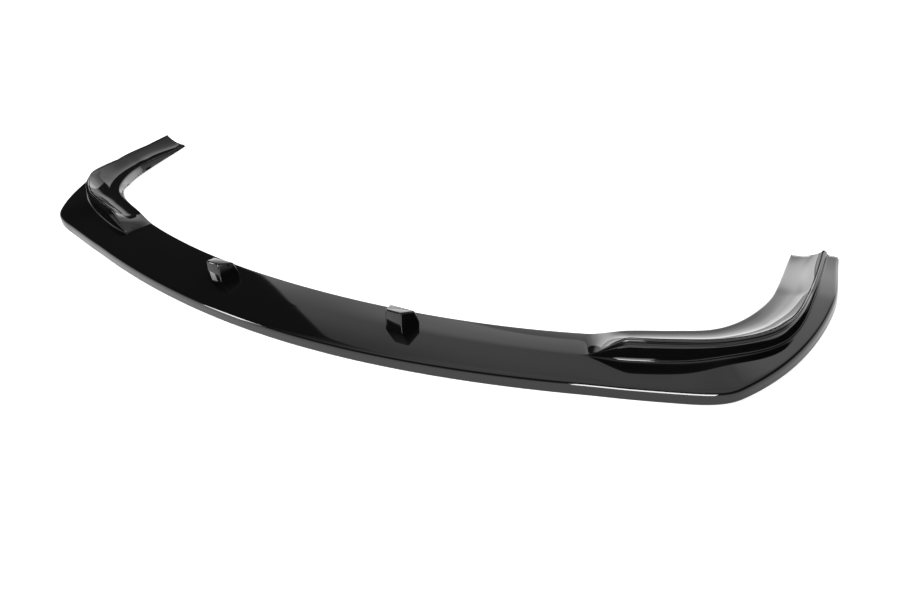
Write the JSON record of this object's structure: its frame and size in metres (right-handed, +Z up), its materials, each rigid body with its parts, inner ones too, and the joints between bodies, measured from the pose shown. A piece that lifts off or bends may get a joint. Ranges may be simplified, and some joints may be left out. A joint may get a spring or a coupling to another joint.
{
  "type": "front splitter lip",
  "caption": "Gloss black moulded splitter lip for a car's front bumper, with side arms, raised flanges and wedge bosses",
  "frame": {"origin": "middle of the bounding box in plan, on the plane that the lip rests on", "axes": "+X to the right along the width, +Y rearward towards the ends of the arms, +Z up"},
  "size_m": [1.7, 0.512, 0.0609],
  "materials": {
    "gloss_black": "high gloss black"
  },
  "bodies": {
    "root": {"splitter_lip": "gloss_black"}
  },
  "joints": []
}
